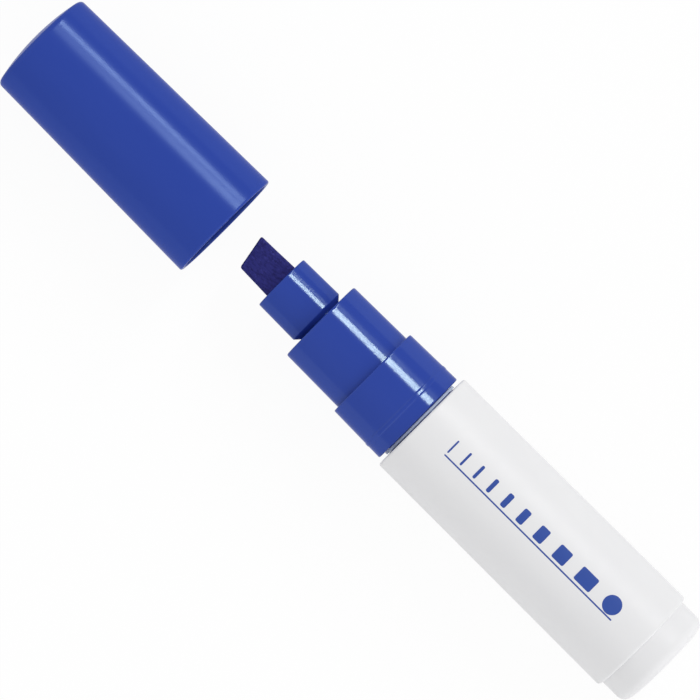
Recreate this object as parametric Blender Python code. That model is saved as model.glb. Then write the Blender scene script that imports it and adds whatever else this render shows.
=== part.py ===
"""Paint marker with a broad chisel nib, lying on its side with its cap pulled off ahead of it.

Lengths are in metres. Stations run along the axis from the barrel's front edge, positive towards
the rear plug. The cap's own stations run from its rim, negative towards its closed top.
"""

import math

import bmesh
import bpy
from mathutils import Matrix, Vector

# Clearances of seated pieces and of moving ones
FIT = 0.0002
SLIDE = 0.0003

# Nib: a flat fibre bar with a slanted, wedge-shaped edge
NIB_WIDTH = 0.0082
NIB_THICKNESS = 0.005
NIB_CORNER = 0.0012
NIB_REACH = 0.009
NIB_TIP_WIDTH = 0.0077
NIB_TIP_THICKNESS = 0.0024
NIB_TIP_CORNER = 0.0007
NIB_EDGE_ROUND = 0.0004
NIB_SLANT = math.radians(10.5)
NIB_TAIL = 0.0012

# Nib sleeve: a head that shows, an undercut behind it and a shank inside the nose
SLEEVE_LENGTH = 0.01015
SLEEVE_STEP = 0.00112
SLEEVE_DRAFT = 0.00013
SLEEVE_EDGE = 0.00035
UNDERCUT_LENGTH = 0.0011
UNDERCUT_GAP = 0.00025
SHANK_WALL = 0.00082
SHANK_LENGTH = 0.0103

# Nose: the middle cylinder, seated in the collar's socket, with the valve chamber in its tail
NOSE_LENGTH = 0.01523
NOSE_WALL = 0.00428
NOSE_DRAFT = 0.00017
NOSE_EDGE = 0.0004
NOSE_TAIL_WALL = 0.0018
NIB_ROOM = 0.0085
WEB_THICKNESS = 0.0015

# Valve: cross-shaped rod, round head, guide boss and soft seal
STEM_ARM = 0.0023
STEM_ARM_WIDTH = 0.0014
STEM_HEAD_RADIUS = 0.0044
STEM_HEAD_LENGTH = 0.0014
STEM_HEAD_ROUND = 0.0003
STEM_BOSS_RADIUS = 0.0018
STEM_BOSS_LENGTH = 0.0034
FLOW_GAP = 0.0018
SEAL_THICKNESS = 0.0007
SEAL_BAND = 0.0015
SEAL_ROUND = 0.0002

# Return spring and the cage that holds it in the nose's tail
SPRING_LENGTH = 0.0118
SPRING_WIRE_RADIUS = 0.0003
SPRING_TURNS = 7
CAGE_RING_WALL = 0.001
CAGE_RING_LENGTH = 0.005
CAGE_END = 0.0012
CAGE_POST_LENGTH = 0.0025
CAGE_RIM = 0.0005
CAGE_WINDOWS = 3
CAGE_SPOKE = math.radians(32)

# Front collar: the large cylinder, with a snap bead for the cap and a tail inside the barrel
COLLAR_LENGTH = 0.01358
COLLAR_STEP = 0.00189
COLLAR_LIP = 0.0009
COLLAR_DRAFT = 0.00026
COLLAR_EDGE = 0.0003
COLLAR_TAIL_WALL = 0.0012
SOCKET_DEPTH = 0.0012
NECK_GROOVE = 0.0006
BEAD_SETBACK = 0.0037
BEAD_WIDTH = 0.0012
BEAD_HEIGHT = 0.0001
LATCH_STATION = 0.004
LATCH_WIDTH = 0.0012
LATCH_HEIGHT = 0.0003

# Gasket in the collar's neck groove, in front of the barrel
GASKET_THICKNESS = 0.00035
GASKET_WALL = 0.00065
GASKET_ROUND = 0.0001

# Barrel
BARREL_LENGTH = 0.06494
BARREL_WALL = 0.0014
BARREL_DRAFT = 0.00016
BARREL_EDGE = 0.0005
MOUTH_WALL = 0.003
MOUTH_SPARE = 0.0008

# Rear plug, stepped down so that the cap can be pushed over it
PLUG_LENGTH = 0.00637
PLUG_ROUND = 0.0022
PLUG_EDGE = 0.0002
PLUG_WALL = 0.0014
PLUG_SPIGOT = 0.006
PLUG_CAP_FIT = 0.00005

# Mixing balls
BALL_RADIUS = 0.00325
BALL_COUNT = 2
BALL_APART = 0.0006

# Cap
CAP_AHEAD = 0.00673
CAP_FIT = 0.00025
CAP_WALL = 0.00125
CAP_DRAFT = math.radians(0.82)
CAP_DOME = 0.0014
CAP_TOP_WALL = 0.001
CAP_CROWN = 0.0016
CAP_TOP_ROUND = 0.001
CAP_RIM_ROUND = 0.0003
CAP_STOP_GAP = 0.0003
BEAD_GROOVE_DEPTH = 0.0002

# Inner cap: a sealing cup held by fins
TIP_HEADROOM = 0.0018
INNER_CAP_END = 0.001
INNER_CAP_WALL = 0.0011
INNER_CAP_ROUND = 0.0006
INNER_CAP_SHORT = 0.0008
FIN_COUNT = 6
FIN_LENGTH = 0.013
FIN_THICKNESS = 0.001

# Smoothness of round shapes
FACETS = 40
SMALL_FACETS = 24
CORNER_STEPS = 3
DOME_STEPS = 4
WINDOW_STEPS = 6
SPRING_STEPS = 10
BALL_RINGS = 10
SHARP_ANGLE = math.radians(35)
WELD = 0.000001
CUT_PAST = 0.001

# Stations along the axis
GASKET_REAR = -FIT
GASKET_FRONT = GASKET_REAR - GASKET_THICKNESS
COLLAR_REAR = GASKET_FRONT - FIT
COLLAR_FRONT = COLLAR_REAR - COLLAR_LENGTH
NOSE_SEAT = COLLAR_FRONT + SOCKET_DEPTH - FIT
NOSE_FRONT = COLLAR_FRONT - NOSE_LENGTH
UNDERCUT_REAR = NOSE_FRONT - UNDERCUT_GAP
SLEEVE_REAR = UNDERCUT_REAR - UNDERCUT_LENGTH
SLEEVE_FRONT = SLEEVE_REAR - SLEEVE_LENGTH
SHANK_REAR = NOSE_FRONT + SHANK_LENGTH
NIB_EDGE = SLEEVE_FRONT - NIB_REACH
NIB_FRONT = NIB_EDGE - math.tan(NIB_SLANT) * NIB_TIP_WIDTH / 2
NIB_REAR = SHANK_REAR + NIB_TAIL
WEB_FRONT = SHANK_REAR + NIB_ROOM
WEB_REAR = WEB_FRONT + WEB_THICKNESS
SEAL_FRONT = WEB_REAR + FIT
SEAL_REAR = SEAL_FRONT + SEAL_THICKNESS
HEAD_FRONT = SEAL_REAR + FIT
HEAD_REAR = HEAD_FRONT + STEM_HEAD_LENGTH
SPRING_FRONT = HEAD_REAR + FIT
SPRING_REAR = SPRING_FRONT + SPRING_LENGTH
CAGE_END_FRONT = SPRING_REAR + FIT
CAGE_REAR = CAGE_END_FRONT + CAGE_END
NOSE_TAIL_REAR = CAGE_END_FRONT - FIT
COLLAR_TAIL_REAR = CAGE_REAR + FIT
MOUTH_REAR = COLLAR_TAIL_REAR + MOUTH_SPARE
PLUG_FRONT = BARREL_LENGTH - PLUG_SPIGOT
PLUG_STEP = BARREL_LENGTH + FIT
PLUG_END = PLUG_STEP + PLUG_LENGTH

# Radii, from the nib outwards
SLOT_WIDTH = NIB_WIDTH + 2 * SLIDE
SLOT_THICKNESS = NIB_THICKNESS + 2 * SLIDE
SLOT_CORNER = NIB_CORNER + SLIDE
SLOT_REACH = math.hypot(SLOT_WIDTH / 2 - SLOT_CORNER, SLOT_THICKNESS / 2 - SLOT_CORNER) + SLOT_CORNER
SHANK_RADIUS = SLOT_REACH + SHANK_WALL
SLEEVE_RADIUS = SHANK_RADIUS + SLEEVE_STEP
NOSE_BORE = SHANK_RADIUS + FIT
NOSE_RADIUS = NOSE_BORE + NOSE_WALL
NIB_CHAMBER = SLOT_REACH + FIT
STEM_REACH = math.hypot(STEM_ARM, STEM_ARM_WIDTH / 2)
WEB_HOLE = STEM_REACH + SLIDE
SEAL_BORE = STEM_REACH + FIT
SPRING_RADIUS = STEM_BOSS_RADIUS + SLIDE + SPRING_WIRE_RADIUS
SPRING_SEAT = SPRING_RADIUS + SPRING_WIRE_RADIUS + CAGE_RIM
VALVE_CHAMBER = STEM_HEAD_RADIUS + FLOW_GAP
CAGE_RADIUS = VALVE_CHAMBER - FIT
CAGE_BORE = CAGE_RADIUS - CAGE_RING_WALL
NOSE_TAIL_RADIUS = VALVE_CHAMBER + NOSE_TAIL_WALL
COLLAR_BORE = NOSE_TAIL_RADIUS + FIT
NECK_RADIUS = COLLAR_BORE + COLLAR_TAIL_WALL
GROOVE_RADIUS = NECK_RADIUS - NECK_GROOVE
GASKET_BORE = GROOVE_RADIUS + FIT
SOCKET_BORE = NOSE_RADIUS + NOSE_DRAFT + FIT
COLLAR_RADIUS = max(NECK_RADIUS + COLLAR_STEP, SOCKET_BORE + COLLAR_LIP)
MOUTH_BORE = NECK_RADIUS + FIT
BARREL_RADIUS = MOUTH_BORE + MOUTH_WALL
BARREL_BORE = BARREL_RADIUS - BARREL_WALL
CAP_MOUTH_BORE = COLLAR_RADIUS + COLLAR_DRAFT + CAP_FIT
CAP_RIM_RADIUS = CAP_MOUTH_BORE + CAP_WALL
PLUG_RADIUS = CAP_MOUTH_BORE - PLUG_CAP_FIT
SPIGOT_RADIUS = BARREL_BORE - FIT
INNER_CAP_BORE = SLEEVE_RADIUS + SLEEVE_DRAFT + SLIDE
INNER_CAP_RADIUS = INNER_CAP_BORE + INNER_CAP_WALL

# Cap stations, from its rim
CAP_RIM = NIB_FRONT - CAP_AHEAD
INNER_CAP_MOUTH = NOSE_FRONT - INNER_CAP_SHORT + CAP_STOP_GAP
INNER_CAP_INSIDE = NIB_FRONT - TIP_HEADROOM + CAP_STOP_GAP
INNER_CAP_TOP = INNER_CAP_INSIDE - INNER_CAP_END
CAP_INSIDE = INNER_CAP_TOP - FIT
CAP_TOP_EDGE = CAP_INSIDE - CAP_TOP_WALL
CAP_TOP = CAP_TOP_EDGE - CAP_DOME
BEAD_GROOVE = COLLAR_REAR - BEAD_SETBACK + CAP_STOP_GAP

# Places in the row's frame and in the barrel
AXIS_HEIGHT = max(CAP_RIM_RADIUS, BARREL_RADIUS + BARREL_DRAFT) * math.cos(math.pi / FACETS)
MARKER_OFFSET = -(CAP_RIM + CAP_TOP + PLUG_END) / 2
BALL_ORBIT = BARREL_BORE - BALL_RADIUS - SLIDE
BALL_ANGLE = math.asin((BALL_RADIUS + BALL_APART / 2) / BALL_ORBIT)
BALL_FIRST = MOUTH_REAR + (BARREL_BORE - MOUTH_BORE) + BALL_RADIUS + SLIDE
BALL_LAST = PLUG_FRONT - BALL_RADIUS - SLIDE

# Finishes: sRGB colour, roughness, metallic
BLUE_SATIN = ("3149A3", 0.35, 0.0)
BLUE_GLOSS = ("3149A3", 0.15, 0.0)
WHITE_PLASTIC = ("E6E6E8", 0.3, 0.0)
NATURAL_PLASTIC = ("EDEBE4", 0.4, 0.0)
NAVY_FIBRE = ("2B2860", 0.9, 0.0)
SOFT_RUBBER = ("2A2A2C", 0.8, 0.0)
SOFT_WHITE = ("E9E9EA", 0.6, 0.0)
BALL_STEEL = ("C8CACC", 0.12, 1.0)
SPRING_STEEL = ("B4B6B8", 0.3, 1.0)


def linear(hex_colour):
    """Linear red, green and blue of an sRGB colour."""
    channels = [int(hex_colour[i:i + 2], 16) / 255 for i in (0, 2, 4)]
    return [c / 12.92 if c <= 0.04045 else ((c + 0.055) / 1.055) ** 2.4 for c in channels]


def material(name, finish):
    """Principled material of one piece."""
    colour, roughness, metallic = finish
    made = bpy.data.materials.new(name)
    made.use_nodes = True
    shader = made.node_tree.nodes["Principled BSDF"]
    shader.inputs["Base Color"].default_value = (*linear(colour), 1.0)
    shader.inputs["Roughness"].default_value = roughness
    shader.inputs["Metallic"].default_value = metallic
    return made


def place(name, data, parent, location=(0.0, 0.0, 0.0)):
    """Object of the given data, standing where its parent says."""
    obj = bpy.data.objects.new(name, data)
    obj.parent = parent
    obj.location = location
    bpy.context.scene.collection.objects.link(obj)
    return obj


def piece(name, bm, finish, parent, location=(0.0, 0.0, 0.0)):
    """Named sub-part with smooth round faces and a material of its own."""
    mesh = bpy.data.meshes.new(name)
    bm.to_mesh(mesh)
    bm.free()
    mesh.shade_smooth()
    mesh.set_sharp_from_angle(angle=SHARP_ANGLE)
    mesh.materials.append(material(name + "_finish", finish))
    return place(name, mesh, parent, location)


def shape_with(obj, bm, operation):
    """Cut a hidden tool out of a piece, or join it on."""
    mesh = bpy.data.meshes.new(obj.name + "_tool")
    bm.to_mesh(mesh)
    bm.free()
    tool = place(mesh.name, mesh, obj.parent)
    tool.hide_render = True
    tool.display_type = "WIRE"
    modifier = obj.modifiers.new(operation.title(), "BOOLEAN")
    modifier.operation = operation
    modifier.object = tool


def about_axis(station, radius, angle):
    """Point at a radius from the axis, the angle counted from straight up."""
    return Vector((station, -radius * math.sin(angle), radius * math.cos(angle)))


def rounded(corners):
    """Outline through (station, radius, fillet) corners, each fillet drawn as an arc."""
    spots = [Vector(corner[:2]) for corner in corners]
    outline = []
    for index, corner in enumerate(corners):
        spot = spots[index]
        if len(corner) == 2:
            outline.append(spot)
            continue
        back = spots[index - 1] - spot
        ahead = spots[(index + 1) % len(spots)] - spot
        half_angle = back.angle(ahead) / 2
        setback = min(corner[2] / math.tan(half_angle), back.length / 2, ahead.length / 2)
        back.normalize()
        ahead.normalize()
        centre = spot + (back + ahead).normalized() * setback / math.cos(half_angle)
        start = spot + back * setback - centre
        end = spot + ahead * setback - centre
        for step in range(CORNER_STEPS + 1):
            direction = start.normalized().slerp(end.normalized(), step / CORNER_STEPS)
            outline.append(centre + direction * start.length)
    return outline


def ridge(station, width, height, radius):
    """Corners of a low ridge, or of a groove if the height is negative."""
    half = width / 2
    return [
        (station - half, radius),
        (station - half / 2, radius + height),
        (station + half / 2, radius + height),
        (station + half, radius),
    ]


def turned(outline, facets):
    """Solid turned about the axis. An outline that starts off the axis closes into a ring."""
    bm = bmesh.new()
    verts = [bm.verts.new(about_axis(x, r, math.pi / facets)) for x, r in outline]
    pairs = list(zip(verts, verts[1:]))
    if outline[0][1] > 0.0:
        pairs.append((verts[-1], verts[0]))
    edges = [bm.edges.new(pair) for pair in pairs]
    bmesh.ops.spin(
        bm,
        geom=verts + edges,
        cent=(0.0, 0.0, 0.0),
        axis=(1.0, 0.0, 0.0),
        angle=2 * math.pi,
        steps=facets,
        use_merge=True,
    )
    bmesh.ops.remove_doubles(bm, verts=bm.verts, dist=WELD)
    bmesh.ops.recalc_face_normals(bm, faces=bm.faces)
    return bm


def lofted(sections):
    """Solid through rings of points that match one to one, closed by its end rings."""
    bm = bmesh.new()
    rings = [[bm.verts.new(point) for point in section] for section in sections]
    for near, far in zip(rings, rings[1:]):
        for i in range(len(near)):
            bm.faces.new((near[i - 1], near[i], far[i], far[i - 1]))
    bm.faces.new(rings[0])
    bm.faces.new(rings[-1])
    bmesh.ops.recalc_face_normals(bm, faces=bm.faces)
    return bm


def rounded_bar(station, width, thickness, corner, slant=0.0):
    """Section of a flat bar with rounded corners. A slant carries its +Y side forward."""
    section = []
    for quarter, (side, up) in enumerate(((1, 1), (-1, 1), (-1, -1), (1, -1))):
        for step in range(CORNER_STEPS + 1):
            angle = (quarter + step / CORNER_STEPS) * math.pi / 2
            y = side * (width / 2 - corner) + corner * math.cos(angle)
            z = up * (thickness / 2 - corner) + corner * math.sin(angle)
            section.append(Vector((station - y * math.tan(slant), y, z)))
    return section


def cap_bore(station):
    """Inside radius of the cap at a station from its rim: it narrows towards the top."""
    return CAP_MOUTH_BORE + station * math.tan(CAP_DRAFT)


def dome(top, edge_radius):
    """Outline of the cap's shallow domed top, from the axis outwards, without its edge."""
    sphere = (edge_radius**2 + CAP_DOME**2) / (2 * CAP_DOME)
    sweep = math.asin(edge_radius / sphere)
    angles = [sweep * step / DOME_STEPS for step in range(DOME_STEPS)]
    return [(top + sphere * (1 - math.cos(angle)), sphere * math.sin(angle)) for angle in angles]


def add_cap_shell(parent):
    """Thin drafted cap with a domed top and a shallow groove that takes the snap bead."""
    top_radius = cap_bore(CAP_TOP_EDGE) + CAP_WALL
    groove = ridge(BEAD_GROOVE, 2 * BEAD_WIDTH, BEAD_GROOVE_DEPTH, cap_bore(BEAD_GROOVE))
    corners = [
        *dome(CAP_TOP, top_radius),
        (CAP_TOP_EDGE, top_radius, CAP_CROWN),
        (0.0, CAP_RIM_RADIUS, CAP_RIM_ROUND),
        (0.0, CAP_MOUTH_BORE, CAP_RIM_ROUND),
        *reversed(groove),
        (CAP_INSIDE, cap_bore(CAP_INSIDE), CAP_TOP_ROUND),
        (CAP_INSIDE, 0.0),
    ]
    return piece("cap_shell", turned(rounded(corners), FACETS), BLUE_SATIN, parent)


def fin(index):
    """One of the inner cap's fins, reaching out to the drafted wall of the cap."""
    root = INNER_CAP_RADIUS - INNER_CAP_WALL / 2
    end = INNER_CAP_TOP + FIN_LENGTH
    outline = (
        (INNER_CAP_TOP + INNER_CAP_ROUND, root),
        (INNER_CAP_TOP + INNER_CAP_ROUND, cap_bore(INNER_CAP_TOP) - CAP_TOP_ROUND),
        (INNER_CAP_TOP + CAP_TOP_ROUND, cap_bore(INNER_CAP_TOP) - FIT),
        (end, cap_bore(end) - FIT),
        (end, root),
    )
    turn = Matrix.Rotation(2 * math.pi * index / FIN_COUNT, 4, "X")
    sides = (-FIN_THICKNESS / 2, FIN_THICKNESS / 2)
    return lofted([[turn @ Vector((x, y, r)) for x, r in outline] for y in sides])


def add_inner_cap(parent):
    """Sealing cup that closes over the nib and its sleeve, pressed into the cap by its fins."""
    corners = [
        (INNER_CAP_TOP, 0.0),
        (INNER_CAP_TOP, INNER_CAP_RADIUS, INNER_CAP_ROUND),
        (INNER_CAP_MOUTH, INNER_CAP_RADIUS),
        (INNER_CAP_MOUTH, INNER_CAP_BORE, INNER_CAP_ROUND),
        (INNER_CAP_INSIDE, INNER_CAP_BORE, INNER_CAP_ROUND),
        (INNER_CAP_INSIDE, 0.0),
    ]
    cup = piece("inner_cap", turned(rounded(corners), FACETS), NATURAL_PLASTIC, parent)
    for index in range(FIN_COUNT):
        shape_with(cup, fin(index), "UNION")
    return cup


def add_barrel(parent):
    """White tube: thick round the front mouth, thin round the reservoir, open at the rear."""
    latch = ridge(LATCH_STATION, LATCH_WIDTH, LATCH_HEIGHT, MOUTH_BORE)
    corners = [
        (0.0, MOUTH_BORE),
        (0.0, BARREL_RADIUS, BARREL_EDGE),
        (BARREL_LENGTH, BARREL_RADIUS + BARREL_DRAFT, BARREL_EDGE),
        (BARREL_LENGTH, BARREL_BORE),
        (MOUTH_REAR + BARREL_BORE - MOUTH_BORE, BARREL_BORE),
        (MOUTH_REAR, MOUTH_BORE),
        *reversed(latch),
    ]
    return piece("barrel", turned(rounded(corners), FACETS), WHITE_PLASTIC, parent)


def add_rear_plug(parent):
    """White cup that closes the barrel: a spigot inside it and a stepped-down end outside."""
    inside = SPIGOT_RADIUS - PLUG_WALL
    corners = [
        (PLUG_END, 0.0),
        (PLUG_END, PLUG_RADIUS, PLUG_ROUND),
        (PLUG_STEP, PLUG_RADIUS, PLUG_EDGE),
        (PLUG_STEP, SPIGOT_RADIUS),
        (PLUG_FRONT, SPIGOT_RADIUS, PLUG_EDGE),
        (PLUG_FRONT, inside),
        (PLUG_END - PLUG_WALL, inside, PLUG_ROUND),
        (PLUG_END - PLUG_WALL, 0.0),
    ]
    return piece("rear_plug", turned(rounded(corners), FACETS), WHITE_PLASTIC, parent)


def add_front_collar(parent):
    """Large blue cylinder: socket for the nose, snap bead, gasket groove and a tail in the barrel."""
    bead_station = COLLAR_REAR - BEAD_SETBACK
    bead_radius = COLLAR_RADIUS + COLLAR_DRAFT * (bead_station - COLLAR_FRONT) / COLLAR_LENGTH
    corners = [
        (COLLAR_FRONT, SOCKET_BORE),
        (COLLAR_FRONT, COLLAR_RADIUS, COLLAR_EDGE),
        *ridge(bead_station, BEAD_WIDTH, BEAD_HEIGHT, bead_radius),
        (COLLAR_REAR, COLLAR_RADIUS + COLLAR_DRAFT, COLLAR_EDGE),
        (COLLAR_REAR, GROOVE_RADIUS),
        (GASKET_REAR + FIT, GROOVE_RADIUS),
        (GASKET_REAR + FIT, NECK_RADIUS),
        *ridge(LATCH_STATION, LATCH_WIDTH - 2 * FIT, LATCH_HEIGHT, NECK_RADIUS),
        (COLLAR_TAIL_REAR, NECK_RADIUS, COLLAR_EDGE),
        (COLLAR_TAIL_REAR, COLLAR_BORE),
        (COLLAR_FRONT + SOCKET_DEPTH, COLLAR_BORE),
        (COLLAR_FRONT + SOCKET_DEPTH, SOCKET_BORE),
    ]
    return piece("front_collar", turned(rounded(corners), FACETS), BLUE_GLOSS, parent)


def add_neck_gasket(parent):
    """Thin white ring in the collar's groove, which seals the barrel's front face."""
    outside = GASKET_BORE + GASKET_WALL
    corners = [
        (GASKET_FRONT, GASKET_BORE),
        (GASKET_FRONT, outside, GASKET_ROUND),
        (GASKET_REAR, outside, GASKET_ROUND),
        (GASKET_REAR, GASKET_BORE),
    ]
    return piece("neck_gasket", turned(rounded(corners), FACETS), SOFT_WHITE, parent)


def add_nose_section(parent):
    """Middle blue cylinder: the sleeve's socket, a web with the valve's hole, and the valve chamber."""
    corners = [
        (NOSE_FRONT, NOSE_BORE),
        (NOSE_FRONT, NOSE_RADIUS, NOSE_EDGE),
        (NOSE_SEAT, NOSE_RADIUS + NOSE_DRAFT, NOSE_EDGE),
        (NOSE_SEAT, NOSE_TAIL_RADIUS),
        (NOSE_TAIL_REAR, NOSE_TAIL_RADIUS, NOSE_EDGE),
        (NOSE_TAIL_REAR, VALVE_CHAMBER),
        (WEB_REAR, VALVE_CHAMBER),
        (WEB_REAR, WEB_HOLE),
        (WEB_FRONT, WEB_HOLE),
        (WEB_FRONT, NIB_CHAMBER),
        (SHANK_REAR + FIT, NIB_CHAMBER),
        (SHANK_REAR + FIT, NOSE_BORE),
    ]
    return piece("nose_section", turned(rounded(corners), FACETS), BLUE_GLOSS, parent)


def add_nib_sleeve(parent):
    """Small blue cylinder with an undercut and a shank, cut through by the nib's flat slot."""
    corners = [
        (SLEEVE_FRONT, 0.0),
        (SLEEVE_FRONT, SLEEVE_RADIUS, SLEEVE_EDGE),
        (SLEEVE_REAR, SLEEVE_RADIUS + SLEEVE_DRAFT, SLEEVE_EDGE),
        (UNDERCUT_REAR, SHANK_RADIUS),
        (SHANK_REAR, SHANK_RADIUS, SLEEVE_EDGE),
        (SHANK_REAR, 0.0),
    ]
    sleeve = piece("nib_sleeve", turned(rounded(corners), FACETS), BLUE_GLOSS, parent)
    ends = (SLEEVE_FRONT - CUT_PAST, SHANK_REAR + CUT_PAST)
    slot = lofted([rounded_bar(x, SLOT_WIDTH, SLOT_THICKNESS, SLOT_CORNER) for x in ends])
    shape_with(sleeve, slot, "DIFFERENCE")
    return sleeve


def add_nib(parent):
    """Flat fibre bar, thinned to a slanted chisel edge with a small rounding."""
    round_off = 2 * NIB_EDGE_ROUND
    sections = [
        rounded_bar(NIB_REAR, NIB_WIDTH, NIB_THICKNESS, NIB_CORNER),
        rounded_bar(SLEEVE_FRONT, NIB_WIDTH, NIB_THICKNESS, NIB_CORNER),
        rounded_bar(NIB_EDGE + NIB_EDGE_ROUND, NIB_TIP_WIDTH, NIB_TIP_THICKNESS, NIB_TIP_CORNER, NIB_SLANT),
        rounded_bar(
            NIB_EDGE,
            NIB_TIP_WIDTH - round_off,
            NIB_TIP_THICKNESS - round_off,
            NIB_TIP_CORNER / 2,
            NIB_SLANT,
        ),
    ]
    return piece("nib", lofted(sections), NAVY_FIBRE, parent)


def cross_section(station):
    """Section of the valve stem's rod: a cross that leaves room for the paint to pass."""
    half = STEM_ARM_WIDTH / 2
    section = []
    for quarter in range(4):
        turn = Matrix.Rotation(quarter * math.pi / 2, 4, "X")
        for y, z in ((STEM_ARM, -half), (STEM_ARM, half), (half, half)):
            section.append(turn @ Vector((station, y, z)))
    return section


def add_valve_stem(parent):
    """Plunger behind the nib: cross-shaped rod through the web, round head and spring boss."""
    corners = [
        (HEAD_FRONT, 0.0),
        (HEAD_FRONT, STEM_HEAD_RADIUS, STEM_HEAD_ROUND),
        (HEAD_REAR, STEM_HEAD_RADIUS, STEM_HEAD_ROUND),
        (HEAD_REAR, STEM_BOSS_RADIUS),
        (HEAD_REAR + STEM_BOSS_LENGTH, STEM_BOSS_RADIUS, STEM_HEAD_ROUND),
        (HEAD_REAR + STEM_BOSS_LENGTH, 0.0),
    ]
    stem = piece("valve_stem", turned(rounded(corners), SMALL_FACETS), NATURAL_PLASTIC, parent)
    ends = (NIB_REAR + FIT, HEAD_FRONT + STEM_HEAD_LENGTH / 2)
    shape_with(stem, lofted([cross_section(x) for x in ends]), "UNION")
    return stem


def add_valve_seal(parent):
    """Soft ring in front of the valve head, which shuts against the web."""
    corners = [
        (SEAL_FRONT, SEAL_BORE, SEAL_ROUND),
        (SEAL_FRONT, SEAL_BORE + SEAL_BAND, SEAL_ROUND),
        (SEAL_REAR, SEAL_BORE + SEAL_BAND, SEAL_ROUND),
        (SEAL_REAR, SEAL_BORE, SEAL_ROUND),
    ]
    return piece("valve_seal", turned(rounded(corners), SMALL_FACETS), SOFT_RUBBER, parent)


def cage_window(index):
    """Tool for one of the curved windows in the cage's end, which let the paint through."""
    corners = [
        (CAGE_END_FRONT - CUT_PAST, SPRING_SEAT),
        (CAGE_END_FRONT - CUT_PAST, CAGE_BORE - CAGE_RIM),
        (CAGE_REAR + CUT_PAST, CAGE_BORE - CAGE_RIM),
        (CAGE_REAR + CUT_PAST, SPRING_SEAT),
    ]
    pitch = 2 * math.pi / CAGE_WINDOWS
    angles = [
        index * pitch + (pitch - CAGE_SPOKE) * step / WINDOW_STEPS for step in range(WINDOW_STEPS + 1)
    ]
    return lofted([[about_axis(x, r, angle) for x, r in corners] for angle in angles])


def add_spring_cage(parent):
    """Retainer in the nose's tail: a ring, a flanged end with windows, and a post for the spring."""
    corners = [
        (CAGE_END_FRONT - CAGE_POST_LENGTH, 0.0),
        (CAGE_END_FRONT - CAGE_POST_LENGTH, STEM_BOSS_RADIUS, STEM_HEAD_ROUND),
        (CAGE_END_FRONT, STEM_BOSS_RADIUS),
        (CAGE_END_FRONT, CAGE_BORE),
        (CAGE_END_FRONT - CAGE_RING_LENGTH, CAGE_BORE),
        (CAGE_END_FRONT - CAGE_RING_LENGTH, CAGE_RADIUS),
        (CAGE_END_FRONT, CAGE_RADIUS),
        (CAGE_END_FRONT, NOSE_TAIL_RADIUS),
        (CAGE_REAR, NOSE_TAIL_RADIUS),
        (CAGE_REAR, 0.0),
    ]
    cage = piece("spring_cage", turned(rounded(corners), SMALL_FACETS), NATURAL_PLASTIC, parent)
    for index in range(CAGE_WINDOWS):
        shape_with(cage, cage_window(index), "DIFFERENCE")
    return cage


def least_gap(points, steps_apart, diameter):
    """Smallest clear distance between turns of a wire, measured on its points."""
    gaps = []
    for index, point in enumerate(points):
        gaps.extend((other - point).length for other in points[index + steps_apart:])
    return min(gaps) - diameter


def add_return_spring(parent):
    """Coil spring between the valve head and the cage, one unbroken wire."""
    first = SPRING_FRONT + SPRING_WIRE_RADIUS
    rise = SPRING_LENGTH - 2 * SPRING_WIRE_RADIUS
    count = SPRING_TURNS * SPRING_STEPS
    points = [
        about_axis(first + rise * i / count, SPRING_RADIUS, 2 * math.pi * i / SPRING_STEPS)
        for i in range(count + 1)
    ]
    curve = bpy.data.curves.new("return_spring", "CURVE")
    curve.dimensions = "3D"
    curve.bevel_depth = SPRING_WIRE_RADIUS
    curve.bevel_resolution = 1
    curve.use_fill_caps = True
    spline = curve.splines.new("POLY")
    spline.points.add(count)
    for target, point in zip(spline.points, points):
        target.co = (*point, 1.0)
    curve.materials.append(material("return_spring_finish", SPRING_STEEL))
    gap = least_gap(points, SPRING_STEPS // 2, 2 * SPRING_WIRE_RADIUS)
    print(f"return_spring: least gap between turns {gap * 1000:.2f} mm")
    return place("return_spring", curve, parent)


def add_mixing_ball(index, parent):
    """Steel ball on the floor of the reservoir, in a lane beside the other ball's."""
    bm = bmesh.new()
    bmesh.ops.create_uvsphere(bm, u_segments=SMALL_FACETS, v_segments=BALL_RINGS, radius=BALL_RADIUS)
    station = BALL_FIRST + (BALL_LAST - BALL_FIRST) * (index + 1) / (BALL_COUNT + 1)
    lane = math.pi + BALL_ANGLE * (2 * index / (BALL_COUNT - 1) - 1)
    spot = about_axis(station, BALL_ORBIT, lane)
    return piece(f"mixing_ball_{index + 1}", bm, BALL_STEEL, parent, spot)


def main():
    for old in list(bpy.data.objects):
        bpy.data.objects.remove(old, do_unlink=True)
    marker = place("marker_axis", None, None, (MARKER_OFFSET, 0.0, AXIS_HEIGHT))
    cap_slide = place("cap_slide_axis", None, marker, (CAP_RIM, 0.0, 0.0))
    nib_press = place("nib_press_axis", None, marker)
    add_cap_shell(cap_slide)
    add_inner_cap(cap_slide)
    add_nib(nib_press)
    add_valve_stem(nib_press)
    add_valve_seal(nib_press)
    add_nib_sleeve(marker)
    add_nose_section(marker)
    add_front_collar(marker)
    add_neck_gasket(marker)
    add_barrel(marker)
    add_rear_plug(marker)
    add_spring_cage(marker)
    add_return_spring(marker)
    for index in range(BALL_COUNT):
        add_mixing_ball(index, marker)


if __name__ == "__main__":
    main()
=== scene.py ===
"""Paint marker with a broad chisel nib: its visual pieces, their finishes and a studio to show it in.

Every piece is built in place over the packed frame, in metres, and rides on one of its bodies.
Stations run along the marker's axis, which is the frame's X axis, from the cap to the rear plug.
"""

import math

import bmesh
import bpy
from bpy.props import FloatProperty, FloatVectorProperty, IntProperty, PointerProperty
from mathutils import Matrix, Vector, noise


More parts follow.
